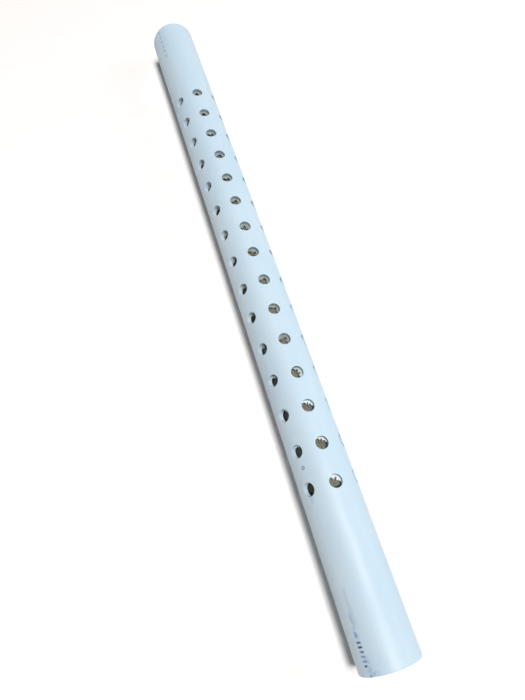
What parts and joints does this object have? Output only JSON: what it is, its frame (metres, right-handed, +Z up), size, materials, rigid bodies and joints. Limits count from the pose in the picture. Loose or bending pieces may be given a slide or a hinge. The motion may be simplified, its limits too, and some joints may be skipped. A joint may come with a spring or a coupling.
{
  "type": "air stone",
  "caption": "Guarded pond air stone: a drilled white plastic pipe with a draw-out core of porous stones on an air tube, an end plug and a recessed hose tail.",
  "frame": {"origin": "on the ground under the middle of the pipe's length", "axes": "+Y along the pipe towards the hose inlet, +Z up, +X to the right seen from the plug end"},
  "size_m": [0.0422, 0.61, 0.0422],
  "materials": {
    "pvc_pipe": "extruded white PVC with a satin skin, light handling scuffs and faint blue ink dots",
    "pvc_disc": "sawn and faced grey-white PVC sheet, solvent cement around the edge",
    "moulded_plastic": "moulded glass-filled nylon, fine matt texture",
    "porous_stone": "sintered coarse grit, olive grey, open pores",
    "gasket_rubber": "die-cut black rubber sheet",
    "o_ring_rubber": "moulded black nitrile, greased",
    "brass": "turned, slightly dulled",
    "stainless": "drawn and turned stainless steel"
  },
  "bodies": {
    "guard": {"guard_pipe": "pvc_pipe", "far_bulkhead": "pvc_disc", "inlet_barb": "brass", "inlet_seal": "gasket_rubber", "inlet_nut": "brass"},
    "cartridge": {"near_plug": "moulded_plastic", "plug_o_ring": "o_ring_rubber", "plug_nut": "stainless", "air_tube": "stainless", "spigot_o_ring": "o_ring_rubber", "tie_nut_near": "stainless", "spider_near": "moulded_plastic", "end_cap_near": "moulded_plastic", "gasket_1": "gasket_rubber", "gasket_2": "gasket_rubber", "gasket_3": "gasket_rubber", "gasket_4": "gasket_rubber", "gasket_5": "gasket_rubber", "stone_1": "porous_stone", "stone_2": "porous_stone", "stone_3": "porous_stone", "stone_4": "porous_stone", "end_cap_far": "moulded_plastic", "spider_far": "moulded_plastic", "tie_nut_far": "stainless"},
    "washer": {"nut_washer": "stainless"},
    "nut": {"wing_nut": "stainless"}
  },
  "joints": [
    {"name": "cartridge_slide", "type": "slide", "parent": "guard", "child": "cartridge", "axis": [0, -1, 0], "range_m": [0, 0.5]},
    {"name": "nut_travel", "type": "slide", "parent": "cartridge", "child": "washer", "axis": [0, -1, 0], "range_m": [0, 0.0034]},
    {"name": "nut_turn", "type": "hinge", "parent": "washer", "child": "nut", "pos_m": [0, -0.294, 0.02108], "axis": [0, -1, 0], "range_deg": [0, 990]}
  ],
  "couplings": [
    {"joint": "nut_turn", "follows": "nut_travel", "rad_per_m": 5026.5}
  ]
}
